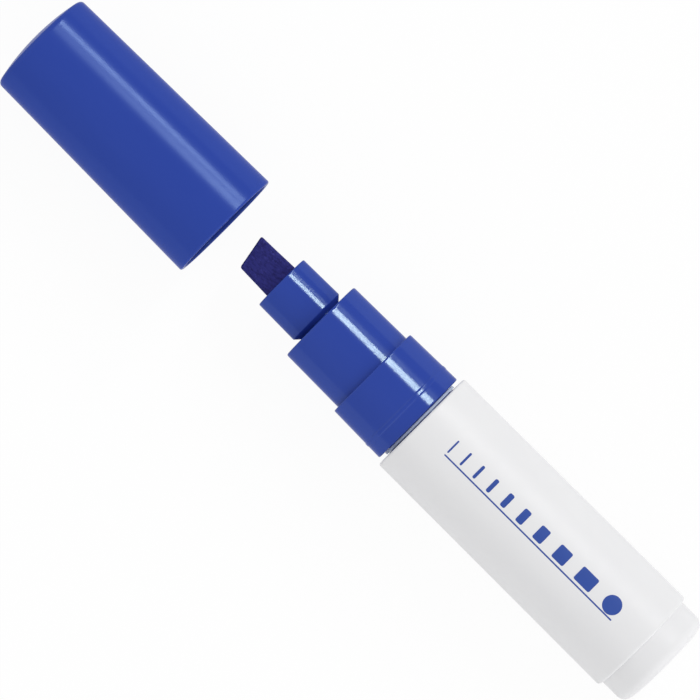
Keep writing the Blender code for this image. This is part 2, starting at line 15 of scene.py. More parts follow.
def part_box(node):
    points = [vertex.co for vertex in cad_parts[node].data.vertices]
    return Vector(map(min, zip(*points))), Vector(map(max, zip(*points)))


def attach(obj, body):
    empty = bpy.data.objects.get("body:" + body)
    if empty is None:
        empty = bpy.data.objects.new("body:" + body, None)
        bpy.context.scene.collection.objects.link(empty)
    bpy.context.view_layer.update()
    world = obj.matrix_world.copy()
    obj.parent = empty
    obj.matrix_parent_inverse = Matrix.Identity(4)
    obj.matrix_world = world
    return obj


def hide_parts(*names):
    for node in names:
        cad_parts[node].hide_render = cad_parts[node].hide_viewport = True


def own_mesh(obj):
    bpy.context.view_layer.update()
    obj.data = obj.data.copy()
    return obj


bl_info = {
    "name": "Paint Marker",
    "version": (1, 0, 0),
    "blender": (4, 5, 0),
    "location": "3D View > Sidebar > Marker",
    "description": "Builds a chisel-nib paint marker, piece by piece, over its packed frame",
    "category": "Add Mesh",
}

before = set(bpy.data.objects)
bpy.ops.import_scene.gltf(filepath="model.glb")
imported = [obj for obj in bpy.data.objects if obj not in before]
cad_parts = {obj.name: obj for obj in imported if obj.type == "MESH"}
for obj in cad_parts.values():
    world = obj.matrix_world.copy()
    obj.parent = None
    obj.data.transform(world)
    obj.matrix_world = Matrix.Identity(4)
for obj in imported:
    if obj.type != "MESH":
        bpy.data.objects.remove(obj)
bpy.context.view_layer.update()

# Smoothness of the round shapes
TURN_STEPS = 144
FILLET_STEPS = 6
DOME_STEPS = 12
NIB_STEPS = 240
WEDGE_STEPS = 36
EDGE_STEPS = 5
COIL_STEPS = 40
WIRE_STEPS = 14
PRINT_STEPS = 12
SHARP_ANGLE = math.radians(38)
WELD = 0.0000005

# How far beside a fillet its support points lie, as a share of its setback
FILLET_SUPPORT = 0.3

# Rings that hold an end face flat, as shares of the reach of the cup, the nib, the sleeve and its shank
CUP_FACE = 0.5
NIB_FACE = 0.5
SLEEVE_FACE = 0.9
SHANK_FACE = 0.97

# Gate's dimple in the cap: its flat floor and its rounding, as shares of its radius
GATE_FLOOR = 0.8
GATE_ROUND = 0.15

# Room between the dome's outermost ring and the cap's edge, in crown roundings
CROWN_ROOM = 3

# Softboxes that shine in the cap, the front and the barrel, each given as its place along the marker,
# its length along it and its width in metres, its angle from straight overhead in degrees and its radiance
SOFTBOXES = {
    "cap": (-0.3875, 0.325, 0.5, 58.6, 25.0),
    "front": (-0.113, 0.15, 0.73, 43.6, 47.0),
    "barrel": (0.34, 0.3, 0.6, 53.0, 6.0),
}

# Brightness of the room across and along the marker, dim across it, where the blue pieces mirror the room
ROOM = (0.42, 1.42)

# Factors on that brightness at the low and the high end of an axis. They make the room bright opposite the
# softboxes and towards the rear, where its light reaches the cap's mouth and the plug's step
ROOM_SLOPES = {"Y": (1.22, 0.66), "X": (0.72, 1.28)}

# Share of the floor's white that doesn't depend on the light, and the shade of the paper's darkest felt
FLOOR_GLOW = 0.94
FELT_SHADE = 0.985

# Patterns in millimetres: melt flow and rubbed spots of plastics, the nib's flecks and the paper's felt
FLOW_SIZE = 7.0
RUB_SIZE = 2.4
FLECK_SIZE = 0.9
FELT_SIZE = 3.0

# Scale of the melt flow's pattern along the marker, over its scale across
FLOW_STRETCH = 0.35

# Sockets of a Mix node for colours, which share their names with those for its other types
MIX_SHARE = 0
MIX_FIRST = 6
MIX_SECOND = 7
MIX_RESULT = 2


def linear(hex_colour):
    """Linear red, green and blue of an sRGB hex colour."""
    channels = [int(hex_colour[i:i + 2], 16) / 255 for i in (0, 2, 4)]
    return [c / 12.92 if c <= 0.04045 else ((c + 0.055) / 1.055) ** 2.4 for c in channels]


def across(node):
    """Largest radius of a node about the marker's axis."""
    low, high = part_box(node)
    return (high.z - low.z) / 2


def ends(node):
    """Front and rear station of a node."""
    low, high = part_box(node)
    return low.x, high.x


AXIS_HEIGHT = sum(corner.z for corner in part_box("barrel")) / 2


# Sizes and colours


def offset(name, default, description):
    """Property that holds a place in metres, on either side of a line."""
    return FloatProperty(name=name, description=description, default=default, unit="LENGTH", precision=5)


def length(name, default, description):
    """Property that holds a length in metres."""
    return FloatProperty(
        name=name, description=description, default=default, min=0.0, unit="LENGTH", precision=5
    )


def angle(name, degrees, description):
    """Property that holds an angle, given in degrees."""
    return FloatProperty(
        name=name, description=description, default=math.radians(degrees), subtype="ANGLE"
    )


def colour(name, hex_colour, description):
    """Property that holds a colour, given as an sRGB hex value."""
    return FloatVectorProperty(
        name=name,
        description=description,
        default=linear(hex_colour),
        size=3,
        min=0.0,
        max=1.0,
        subtype="COLOR",
    )


class MarkerFits(bpy.types.PropertyGroup):
    """Clearances that several pieces share"""

    seat: length("Seat", 0.0002, "Gap between pieces that are pressed together")
    slide: length("Slide", 0.0003, "Gap round the nib, which moves in its slot")


class CapSizes(bpy.types.PropertyGroup):
    """Sizes of the cap and of the sealing cup inside it"""

    wall: length("Wall", 0.00125, "Thickness of the cap's wall")
    top_wall: length("Top wall", 0.001, "Thickness of the cap's top at its edge")
    draft: angle("Draft", 0.82, "How much the cap narrows towards its top")
    dome: length("Dome", 0.0014, "Height of the domed top over its edge")
    crown: length("Crown", 0.001, "Rounding between the wall and the dome")
    top_round: length("Top round", 0.001, "Rounding inside the cap's top")
    rim_round: length("Rim round", 0.00045, "Rounding of the rim's two edges")
    gate_radius: length("Gate radius", 0.0009, "Radius of the moulding gate's dimple in the dome")
    gate_depth: length("Gate depth", 0.00015, "Depth of the gate's dimple")
    groove_setback: length("Groove setback", 0.00415, "From the rim to the snap groove")
    groove_width: length("Groove width", 0.0024, "Width of the snap groove inside the mouth")
    groove_depth: length("Groove depth", 0.0002, "Depth of the snap groove")
    cup_wall: length("Cup wall", 0.0011, "Thickness of the sealing cup's wall")
    cup_round: length("Cup round", 0.0006, "Rounding of the sealing cup's edges")
    fins: IntProperty(name="Fins", description="Fins that hold the sealing cup", default=6, min=3)
    fin_length: length("Fin length", 0.013, "Length of a fin along the axis")
    fin_thickness: length("Fin thickness", 0.001, "Thickness of a fin")


class NibSizes(bpy.types.PropertyGroup):
    """Sizes of the fibre nib"""

    corner: length("Corner", 0.0012, "Rounding of the bar's long edges")
    tip_width: length("Tip width", 0.0077, "Width of the writing edge")
    tip_thickness: length("Tip thickness", 0.0024, "Thickness of the wedge at the writing edge")
    tip_corner: length("Tip corner", 0.0007, "Rounding of the wedge's long edges at the tip")
    edge_round: length("Edge round", 0.0004, "Rounding of the writing edge")
    slant: angle("Slant", 10.5, "Slant of the writing edge")
    furrow_pitch: length("Furrow pitch", 0.00042, "Distance between the furrows among the fibres")
    furrow_run: length("Furrow run", 0.006, "Length over which a furrow fades into the next")
    fibre_run: length("Fibre run", 0.0012, "Length over which a fibre lies at the surface")
    furrow_depth: length("Furrow depth", 0.00005, "Depth of the furrows")


class FrontSizes(bpy.types.PropertyGroup):
    """Sizes of the three blue cylinders at the front and of the gasket behind them"""

    sleeve_step: length("Sleeve step", 0.00112, "Step from the sleeve down to its shank")
    sleeve_draft: length("Sleeve draft", 0.00013, "Growth of the sleeve's radius to its rear")
    sleeve_edge: length("Sleeve edge", 0.00035, "Rounding of the sleeve's edges")
    slot_edge: length("Slot edge", 0.00015, "Rounding of the nib's slot at the sleeve's face")
    undercut: length("Undercut", 0.0011, "Length of the undercut behind the sleeve")
    undercut_gap: length("Undercut gap", 0.0001, "Bare shank between the undercut and the nose")
    nose_draft: length("Nose draft", 0.00017, "Growth of the nose's radius to its rear")
    nose_edge: length("Nose edge", 0.0004, "Rounding of the nose's edges")
    socket: length("Socket", 0.0012, "Depth of the collar's socket for the nose")
    socket_gap: length("Socket gap", 0.00005, "Gap round the nose in the collar's socket")
    web: length("Web", 0.0015, "Thickness of the wall that carries the valve's seat")
    web_hole: length("Web hole", 0.0027, "Radius of the valve's hole")
    flow_gap: length("Flow gap", 0.0018, "Room for the paint round the valve's head")
    collar_draft: length("Collar draft", 0.00026, "Growth of the collar's radius to its rear")
    collar_edge: length("Collar edge", 0.0003, "Rounding of the collar's edges")
    neck: length("Neck", 0.00075, "Gap between the collar and the barrel, where the gasket sits")
    neck_step: length("Neck step", 0.00189, "Step from the collar down to its tail")
    neck_groove: length("Neck groove", 0.0006, "Depth of the gasket's groove in the tail")
    gasket_wall: length("Gasket wall", 0.00065, "Height of the gasket over its bore")
    gasket_swell: length("Gasket swell", 0.00025, "How far the squeezed gasket swells out")
    gasket_gap: length("Gasket gap", 0.00008, "Gap between the gasket and the collar")
    gasket_round: length("Gasket round", 0.00014, "Rounding of the gasket's edges")
    tail_wall: length("Tail wall", 0.0012, "Wall of the collar's tail inside the barrel")
    bead_setback: length("Bead setback", 0.0037, "From the collar's rear to the snap bead")
    bead_width: length("Bead width", 0.0012, "Width of the snap bead")
    bead_height: length("Bead height", 0.0001, "Height of the snap bead")
    latch: length("Latch", 0.004, "From the barrel's front to the ridge that latches the tail in it")
    latch_width: length("Latch width", 0.0012, "Width of the latch's groove in the barrel")
    latch_height: length("Latch height", 0.0003, "Height of the latch's ridge on the tail")


class BarrelSizes(bpy.types.PropertyGroup):
    """Sizes of the white barrel and of the plug in its rear"""

    draft: length("Draft", 0.00016, "Growth of the barrel's radius to its rear")
    setback: length("Setback", 0.00014, "From the gasket's seat to the barrel's front face")
    edge: length("Edge", 0.0005, "Rounding of the barrel's front edge")
    rear_edge: length("Rear edge", 0.0009, "Rounding of the barrel's rear edge")
    wall: length("Wall", 0.0014, "Thickness of the wall round the reservoir")
    mouth_spare: length("Mouth spare", 0.0008, "Thick mouth past the collar's tail")
    plug_gap: length("Plug gap", 0.00001, "Gap between the barrel's rear face and the plug's step")
    plug_round: length("Plug round", 0.0022, "Rounding of the plug's end")
    plug_edge: length("Plug edge", 0.0002, "Rounding of the plug's front edge")
    plug_wall: length("Plug wall", 0.0014, "Thickness of the plug's wall")


class PrintSizes(bpy.types.PropertyGroup):
    """Sizes of the plain line-width scale printed on the barrel"""

    start: length("Start", 0.0082, "From the barrel's front to the scale")
    run: length("Run", 0.0485, "Length of the scale")
    film: length("Film", 0.00002, "Height of the printed film over the barrel")
    rule: length("Rule", 0.00032, "Width of the rule under the bars")
    rule_side: offset("Rule side", -0.0014, "Rule's place beside the top line")
    bar_foot: offset("Bar foot", -0.0007, "Place of the bars' lower end beside the top line")
    bar_height: length("Bar height", 0.0034, "Height of the bars round the barrel")
    bars: IntProperty(name="Bars", description="Bars in the scale", default=9, min=2)
    first_bar: length("First bar", 0.00038, "Width of the narrowest bar")
    growth: FloatProperty(name="Growth", description="Each bar's width over the last", default=1.36, min=1.0)
    bar_round: length("Bar round", 0.0004, "Largest rounding of a bar's corners")
    dot: length("Dot", 0.0042, "Diameter of the dot at the scale's end")


class SpringSizes(bpy.types.PropertyGroup):
    """Sizes of the valve's return spring"""

    wire: length("Wire", 0.0003, "Radius of the wire")
    turns: IntProperty(name="Turns", description="Turns of the coil", default=7, min=2)
    press: length("Press", 0.002, "How far the pressed nib shortens the spring")


class StudioSizes(bpy.types.PropertyGroup):
    """Camera, floor and light"""

    floor: length("Floor", 8.0, "Side of the floor")
    view_width: length("View width", 0.1458, "What the picture's width takes in at the marker")
    distance: length("Camera distance", 1.3, "From the camera to the marker")
    side: length("Camera side", 0.0001, "How far beside the axis the camera aims")
    tilt: angle("Camera tilt", 0.6, "Camera's lean towards the rear plug")
    roll: angle("Camera roll", 44.9, "Turn of the marker's axis in the picture")
    softbox_distance: length("Softbox distance", 3.0, "From the softboxes to the marker")


class MarkerColours(bpy.types.PropertyGroup):
    """Colours of the finishes"""

    blue: colour("Blue", "2D449E", "Pigmented plastic of the cap and the front")
    blue_drift: colour("Blue drift", "29409A", "The same plastic where the melt flowed last")
    white: colour("White", "E7E7E8", "Barrel and rear plug")
    white_drift: colour("White drift", "E2E2E4", "The same plastic where the melt flowed last")
    navy: colour("Navy", "303178", "Fibres soaked with paint")
    # The darker navy is painted shade in the furrows between the fibres
    navy_furrow_shade: colour("Navy dark", "201F56", "Furrows between the fibres")
    navy_fleck: colour("Navy fleck", "4A4AA0", "Fibres that lie at the surface")
    ink: colour("Ink", "2C4896", "Printed scale")
    ink_thin: colour("Ink thin", "3552A2", "The same print where the film is thin")
    natural: colour("Natural", "EDEBE4", "Uncoloured plastic of the inner pieces")
    natural_drift: colour("Natural drift", "E4E1D6", "The same plastic where the wall is thick")
    # The gasket's white and its dust are tinted pale blue, as painted bounce light from the blue collar that
    # faces it across the gap
    silicone: colour("Silicone", "DCE9FF", "Gasket")
    silicone_dust_blue_bounce: colour("Silicone dust", "D4E1F8", "Dust on the gasket")
    rubber: colour("Rubber", "2A2A2C", "Valve's seal")
    rubber_bloom: colour("Rubber bloom", "3A3A3C", "Wax bloom on the seal")
    steel: colour("Steel", "C8CACC", "Balls and spring")
    steel_drift: colour("Steel drift", "AEB0B4", "The same steel where the tool left its lines")
    paper: colour("Paper", "F4F4F4", "Floor")


# Finishes


def add_node(tree, kind, settings=None, values=None, links=None):
    """Shader node with its settings, its sockets' values and the outputs that feed its sockets."""
    node = tree.nodes.new("ShaderNode" + kind)
    for name, value in (settings or {}).items():
        setattr(node, name, value)
    for socket, value in (values or {}).items():
        node.inputs[socket].default_value = value
    for socket, output in (links or {}).items():
        tree.links.new(output, node.inputs[socket])
    return node


def opaque(rgb):
    """Colour with the alpha that a colour socket holds."""
    return (*rgb, 1.0)


def per_metre(millimetres):
    """Scale of a pattern whose features are this many millimetres apart."""
    return 1000.0 / millimetres


def start_finish(name, constants):
    """New material, with the values that are the same all over on the shader's own sockets."""
    made = bpy.data.materials.new(name)
    made.use_nodes = True
    shader = made.node_tree.nodes["Principled BSDF"]
    for socket, value in constants.items():
        shader.inputs[socket].default_value = value
    return made, made.node_tree, shader


def moulded(name, base, drift, gloss, grain, depth, constants):
    """Moulded plastic: its colour drifts with the melt's flow and its gloss follows the mould's grain.

    The gloss is the lowest and highest roughness, the grain is in millimetres and its depth in micrometres.
    """
    made, tree, shader = start_finish(name, constants)
    spot = add_node(tree, "TexCoord").outputs["Object"]
    stretched = add_node(
        tree, "Mapping", values={"Scale": (FLOW_STRETCH, 1.0, 1.0)}, links={"Vector": spot}
    )
    flow = add_node(
        tree,
        "TexNoise",
        values={"Scale": per_metre(FLOW_SIZE), "Detail": 3.0, "Roughness": 0.55},
        links={"Vector": stretched.outputs["Vector"]},
    )
    mixed = add_node(
        tree,
        "Mix",
        {"data_type": "RGBA"},
        {MIX_FIRST: opaque(base), MIX_SECOND: opaque(drift)},
        {MIX_SHARE: flow.outputs["Fac"]},
    )
    rubbed = add_node(
        tree, "TexNoise", values={"Scale": per_metre(RUB_SIZE), "Detail": 4.0}, links={"Vector": spot}
    )
    roughness = add_node(
        tree,
        "MapRange",
        values={"From Min": 0.3, "From Max": 0.7, "To Min": gloss[0], "To Max": gloss[1]},
        links={"Value": rubbed.outputs["Fac"]},
    )
    grains = add_node(
        tree, "TexNoise", values={"Scale": per_metre(grain), "Detail": 2.0}, links={"Vector": spot}
    )
    relief = add_node(
        tree,
        "Bump",
        values={"Strength": 1.0, "Distance": depth / 1000000},
        links={"Height": grains.outputs["Fac"]},
    )
    tree.links.new(mixed.outputs[MIX_RESULT], shader.inputs["Base Color"])
    tree.links.new(roughness.outputs["Result"], shader.inputs["Roughness"])
    tree.links.new(relief.outputs["Normal"], shader.inputs["Normal"])
    return made


# The blue and white plastics have a tint over one on a low specular level: their faces shine as plastic
# does, while their rims, which mirror the white floor, stay as dark as in the studio


def spark_grained_polypropylene(colours):
    """Cap: polypropylene from a spark-eroded mould, whose fine grain spreads highlights into a satin glow.

    The grain of about 0.1 mm is drawn at 0.4 mm, as coarse as it needs to be to show.
    """
    return moulded(
        "polypropylene_blue_spark_grained",
        colours.blue,
        colours.blue_drift,
        gloss=(0.21, 0.24),
        grain=0.4,
        depth=1.0,
        constants={"Specular IOR Level": 0.01, "Specular Tint": (15.0, 21.0, 30.0, 1.0)},
    )


def polished_abs(colours):
    """Front: ABS from a polished mould, with a sharp highlight that an orange-peel surface barely bends."""
    return moulded(
        "abs_blue_polished",
        colours.blue,
        colours.blue_drift,
        gloss=(0.13, 0.15),
        grain=1.6,
        depth=0.12,
        constants={"Specular IOR Level": 0.01, "Specular Tint": (24.0, 30.5, 30.0, 1.0)},
    )


def blasted_polypropylene(colours):
    """Barrel: white polypropylene from a blasted mould, soft in its gloss so that only a veil shines."""
    return moulded(
        "polypropylene_white_blasted",
        colours.white,
        colours.white_drift,
        gloss=(0.36, 0.44),
        grain=0.5,
        depth=2.0,
        constants={"Specular IOR Level": 0.03, "Specular Tint": (10.0, 10.0, 10.0, 1.0)},
    )


def natural_polyethylene(colours):
    """Inner pieces: uncoloured polyethylene, waxy and a little uneven where its wall is thick.

    The sealing cup and the valve share it.
    """
    name = "polyethylene_natural_moulded"
    return bpy.data.materials.get(name) or moulded(
        name,
        colours.natural,
        colours.natural_drift,
        gloss=(0.4, 0.5),
        grain=0.8,
        depth=4.0,
        constants={"IOR": 1.51},
    )


def moulded_nitrile(colours):
    """Seal: nitrile rubber, dull and dark, with a faint bloom of wax on its skin."""
    return moulded(
        "nitrile_black_moulded",
        colours.rubber,
        colours.rubber_bloom,
        gloss=(0.7, 0.85),
        grain=0.3,
        depth=8.0,
        constants={"IOR": 1.52},
    )


def moulded_silicone(colours):
    """Gasket: white silicone, soft in its shine, with a trace of dust that its tacky skin holds. Both its
    colours are tinted pale blue as painted bounce light from the blue collar across the gap.
    """
    return moulded(
        "silicone_white_painted_bounce",
        colours.silicone,
        colours.silicone_dust_blue_bounce,
        gloss=(0.45, 0.6),
        grain=0.3,
        depth=4.0,
        constants={"IOR": 1.41},
    )


def pad_printed_ink(colours):
    """Print: a pad-printed film with a low sheen, a little paler where it is thin."""
    return moulded(
        "ink_blue_pad_printed",
        colours.ink,
        colours.ink_thin,
        gloss=(0.35, 0.45),
        grain=0.25,
        depth=2.0,
        constants={"IOR": 1.5, "Specular IOR Level": 0.3},
    )


def bare_steel(name, colours, line, gloss):
    """Spring and balls: bare steel, whose drawing or grinding lines, in millimetres, streak the shine."""
    made, tree, shader = start_finish(name, {"Metallic": 1.0})
    spot = add_node(tree, "TexCoord").outputs["Object"]
    lines = add_node(
        tree,
        "TexNoise",
        values={"Scale": per_metre(line), "Detail": 5.0, "Distortion": 0.6},
        links={"Vector": spot},
    )
    mixed = add_node(
        tree,
        "Mix",
        {"data_type": "RGBA"},
        {MIX_FIRST: opaque(colours.steel), MIX_SECOND: opaque(colours.steel_drift)},
        {MIX_SHARE: lines.outputs["Fac"]},
    )
    roughness = add_node(
        tree,
        "MapRange",
        values={"To Min": gloss[0], "To Max": gloss[1]},
        links={"Value": lines.outputs["Fac"]},
    )
    tree.links.new(mixed.outputs[MIX_RESULT], shader.inputs["Base Color"])
    tree.links.new(roughness.outputs["Result"], shader.inputs["Roughness"])
    return made


def bonded_polyester_fibre(colours, sizes):
    """Nib: bonded polyester fibres soaked with paint, matt and dark, with lighter fibres at the surface.

    A fibre is about 0.03 mm thick, so bundles of the furrows' pitch are drawn in its place. The furrows
    between the bundles get a darker navy, which is painted shade where the bump sinks.
    """
    made, tree, shader = start_finish("polyester_fibre_navy_bonded", {"Specular IOR Level": 0.1})
    pitch = sizes.furrow_pitch * 1000.0
    combing = (sizes.furrow_pitch / sizes.fibre_run, 1.0, 1.0)
    spot = add_node(tree, "TexCoord").outputs["Object"]
    combed = add_node(tree, "Mapping", values={"Scale": combing}, links={"Vector": spot})
    bundles = add_node(
        tree,
        "TexNoise",
        values={"Scale": per_metre(pitch), "Detail": 3.0, "Roughness": 0.6, "Distortion": 0.4},
        links={"Vector": combed.outputs["Vector"]},
    )
    # Painted shade: the ramp darkens the furrows, where the same pattern sinks the bump
    soaked = add_node(tree, "ValToRGB", links={"Fac": bundles.outputs["Fac"]})
    furrow, fibre = soaked.color_ramp.elements
    furrow.position = 0.3
    furrow.color = opaque(colours.navy_furrow_shade)
    fibre.position = 0.55
    fibre.color = opaque(colours.navy)
    patches = add_node(
        tree,
        "TexNoise",
        values={"Scale": per_metre(FLECK_SIZE), "Detail": 4.0, "Roughness": 0.7},
        links={"Vector": spot},
    )
    share = add_node(
        tree,
        "MapRange",
        values={"From Min": 0.55, "From Max": 0.75, "To Max": 0.6},
        links={"Value": patches.outputs["Fac"]},
    )
    mixed = add_node(
        tree,
        "Mix",
        {"data_type": "RGBA"},
        {MIX_SECOND: opaque(colours.navy_fleck)},
        {MIX_SHARE: share.outputs["Result"], MIX_FIRST: soaked.outputs["Color"]},
    )
    roughness = add_node(
        tree, "MapRange", values={"To Min": 0.95, "To Max": 0.65}, links={"Value": patches.outputs["Fac"]}
    )
    relief = add_node(
        tree,
        "Bump",
        values={"Strength": 1.0, "Distance": sizes.furrow_depth},
        links={"Height": bundles.outputs["Fac"]},
    )
    tree.links.new(mixed.outputs[MIX_RESULT], shader.inputs["Base Color"])
    tree.links.new(roughness.outputs["Result"], shader.inputs["Roughness"])
    tree.links.new(relief.outputs["Normal"], shader.inputs["Normal"])
    return made


def seamless_paper(colours):
    """Floor: matt white paper, which shows white and keeps a part of the marker's shadow."""
    constants = {"Roughness": 0.9, "Specular IOR Level": 0.0}
    made, tree, shader = start_finish("paper_white_seamless", constants)
    spot = add_node(tree, "TexCoord").outputs["Object"]
    felt = add_node(
        tree, "TexNoise", values={"Scale": per_metre(FELT_SIZE), "Detail": 4.0}, links={"Vector": spot}
    )
    shade = add_node(
        tree,
        "Mix",
        {"data_type": "RGBA"},
        {MIX_FIRST: opaque(colours.paper), MIX_SECOND: opaque([c * FELT_SHADE for c in colours.paper])},
        {MIX_SHARE: felt.outputs["Fac"]},
    )
    tree.links.new(shade.outputs[MIX_RESULT], shader.inputs["Base Color"])
    ray = add_node(tree, "LightPath")
    mirrored = add_node(
        tree,
        "Math",
        {"operation": "MAXIMUM"},
        links={0: ray.outputs["Is Glossy Ray"], 1: ray.outputs["Is Transmission Ray"]},
    )
    seen = add_node(
        tree,
        "Math",
        {"operation": "MAXIMUM"},
        links={0: ray.outputs["Is Camera Ray"], 1: mirrored.outputs[0]},
    )
    share = add_node(tree, "Math", {"operation": "MULTIPLY"}, {1: FLOOR_GLOW}, {0: seen.outputs[0]})
    glow = add_node(tree, "Emission", values={"Color": (1.0, 1.0, 1.0, 1.0), "Strength": 1.0})
    blend = add_node(
        tree,
        "MixShader",
        links={0: share.outputs[0], 1: shader.outputs["BSDF"], 2: glow.outputs["Emission"]},
    )
    tree.links.new(blend.outputs["Shader"], tree.nodes["Material Output"].inputs["Surface"])
    return made


# Shapes


def on_axis(station, reach, turn):
    """Point at a distance from the marker's axis, the turn counted from +Y towards straight up."""
    return Vector((station, reach * math.cos(turn), AXIS_HEIGHT + reach * math.sin(turn)))


def rounded(corners):
    """Outline through (station, radius, fillet) corners, each fillet an arc between two support points."""
    spots = [Vector(corner[:2]) for corner in corners]
    outline = []
    for index, corner in enumerate(corners):
        spot = spots[index]
        if len(corner) == 2:
            outline.append(spot)
            continue
        back = spots[index - 1] - spot
        ahead = spots[(index + 1) % len(spots)] - spot
        half_angle = back.angle(ahead) / 2
        room = min(back.length, ahead.length) / 2
        setback = min(corner[2] / math.tan(half_angle), room / (1 + FILLET_SUPPORT))
        back.normalize()
        ahead.normalize()
        centre = spot + (back + ahead).normalized() * setback / math.cos(half_angle)
        start = spot + back * setback - centre
        end = spot + ahead * setback - centre
        outline.append(spot + back * setback * (1 + FILLET_SUPPORT))
        for step in range(FILLET_STEPS + 1):
            direction = start.normalized().slerp(end.normalized(), step / FILLET_STEPS)
            outline.append(centre + direction * start.length)
        outline.append(spot + ahead * setback * (1 + FILLET_SUPPORT))
    return outline


def ridge(station, width, height, wall):
    """Corners of a low rounded ridge on a wall, which is given as its radius at any station."""
    steps = ((-width / 2, 0.0), (-width / 4, height), (width / 4, height), (width / 2, 0.0))
    return [(station + run, wall(station + run) + rise, width / 4) for run, rise in steps]


def skin(rings, loops):
    """Closed surface over rings of points that match one to one. A ring of one point is a pole."""
    bm = bmesh.new()
    made = [[bm.verts.new(point) for point in ring] for ring in rings]
    pairs = list(zip(made, made[1:]))
    if loops:
        pairs.append((made[-1], made[0]))
    for near, far in pairs:
        for i in range(max(len(near), len(far))):
            if len(near) == 1:
                bm.faces.new((near[0], far[i], far[i - 1]))
            elif len(far) == 1:
                bm.faces.new((near[i - 1], near[i], far[0]))
            else:
                bm.faces.new((near[i - 1], near[i], far[i], far[i - 1]))
    close(bm)
    return bm


def close(bm):
    """Weld the points that fall on each other and turn all faces outwards."""
    bmesh.ops.remove_doubles(bm, verts=bm.verts, dist=WELD)
    bmesh.ops.recalc_face_normals(bm, faces=bm.faces)


def circle(station, radius):
    """Ring of points about the axis, or the one point on it."""
    if radius == 0.0:
        return [on_axis(station, 0.0, 0.0)]
    return [on_axis(station, radius, 2 * math.pi * i / TURN_STEPS) for i in range(TURN_STEPS)]


def turned(corners):
    """Solid turned about the axis. Corners that start off the axis close into a ring."""
    rings = [circle(x, r) for x, r in rounded(corners)]
    return skin(rings, loops=len(rings[0]) > 1)


def finned_circle(station, radius, reach, fins, thickness):
    """Ring of points about the axis, carried out to the reach at each of a number of fins."""
    half_turn = math.asin(thickness / 2 / radius)
    pitch = 2 * math.pi / fins
    gap = pitch - 2 * half_turn
    steps = TURN_STEPS // fins
    ring = []
    for fin in range(fins):
        middle = fin * pitch + math.pi / 2
        out = Vector((0.0, math.cos(middle), math.sin(middle))) * (reach - radius)
        near_root = on_axis(station, radius, middle - half_turn)
        far_root = on_axis(station, radius, middle + half_turn)
        ring.extend((near_root, near_root + out, far_root + out, far_root))
        for step in range(1, steps):
            ring.append(on_axis(station, radius, middle + half_turn + gap * step / steps))
    return ring


def bar_reach(turn, width, thickness, corner):
    """Distance from the axis to the side of a flat bar with rounded corners, in one direction."""
    aim = Vector((abs(math.cos(turn)), abs(math.sin(turn))))
    half = Vector((width / 2, thickness / 2))
    if aim.x * (half.y - corner) >= aim.y * half.x:
        return half.x / aim.x
    if aim.y * (half.x - corner) >= aim.x * half.y:
        return half.y / aim.y
    middle = half - Vector((corner, corner))
    along = aim.dot(middle)
    return along + math.sqrt(along**2 - middle.length_squared + corner**2)


def bar(station, section, steps, slant=0.0):
    """Ring of a flat bar of (width, thickness, corner). A slant carries its +Y side forward."""
    ring = []
    for i in range(steps):
        turn = 2 * math.pi * i / steps
        point = on_axis(station, bar_reach(turn, *section), turn)
        point.x -= point.y * math.tan(slant)
        ring.append(point)
    return ring


def add_piece(name, bm, finish, body, node=None):
    """Smooth piece that rides on a body and, where it has one, stands for a CAD node."""
    mesh = bpy.data.meshes.new(name)
    bm.to_mesh(mesh)
    bm.free()
    mesh.shade_smooth()
    mesh.set_sharp_from_angle(angle=SHARP_ANGLE)
    mesh.materials.append(finish)
    piece = bpy.data.objects.new(name, mesh)
    bpy.context.scene.collection.objects.link(piece)
    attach(piece, body)
    if node:
        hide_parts(node)
    return piece


def dress_node(node, finish):
    """Give a CAD node, which keeps its shape, a finish of its own."""
    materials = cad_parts[node].data.materials
    materials.clear()
    materials.append(finish)


# Cap


def cap_bore(sizes):
    """Function that gives the radius of the cap's drafted bore at a station."""
    rim = ends("cap_shell")[1]
    rim_bore = across("cap_shell") - sizes.wall
    return lambda station: rim_bore + (station - rim) * math.tan(sizes.draft)


def add_cap(scene):
    """Drafted cap: a shallow dome with the gate's dimple, and a snap groove inside the mouth."""
    sizes = scene.marker_cap
    bore = cap_bore(sizes)
    top, rim = ends("cap_shell")
    edge = top + sizes.dome
    edge_radius = bore(edge) + sizes.wall
    sphere = (edge_radius**2 + sizes.dome**2) / (2 * sizes.dome)

    def dome_station(radius):
        """Station of the dome at a radius."""
        return top + sphere - math.sqrt(sphere**2 - radius**2)

    gate = sizes.gate_radius
    gate_floor = gate * GATE_FLOOR
    gate_round = gate * GATE_ROUND
    dome_span = edge_radius - gate - CROWN_ROOM * sizes.crown
    dome_radii = [gate + dome_span * step / DOME_STEPS for step in range(1, DOME_STEPS + 1)]
    groove = rim - sizes.groove_setback
    inside = edge + sizes.top_wall
    corners = [
        (top + sizes.gate_depth, 0.0),
        (dome_station(gate_floor) + sizes.gate_depth, gate_floor, gate_round),
        (dome_station(gate), gate, gate_round),
        *[(dome_station(radius), radius) for radius in dome_radii],
        (edge, edge_radius, sizes.crown),
        (rim, across("cap_shell"), sizes.rim_round),
        (rim, bore(rim), sizes.rim_round),
        *reversed(ridge(groove, sizes.groove_width, sizes.groove_depth, bore)),
        (inside, bore(inside), sizes.top_round),
        (inside, 0.0),
    ]
    finish = spark_grained_polypropylene(scene.marker_colours)
    add_piece("cap", turned(corners), finish, "cap", "cap_shell")


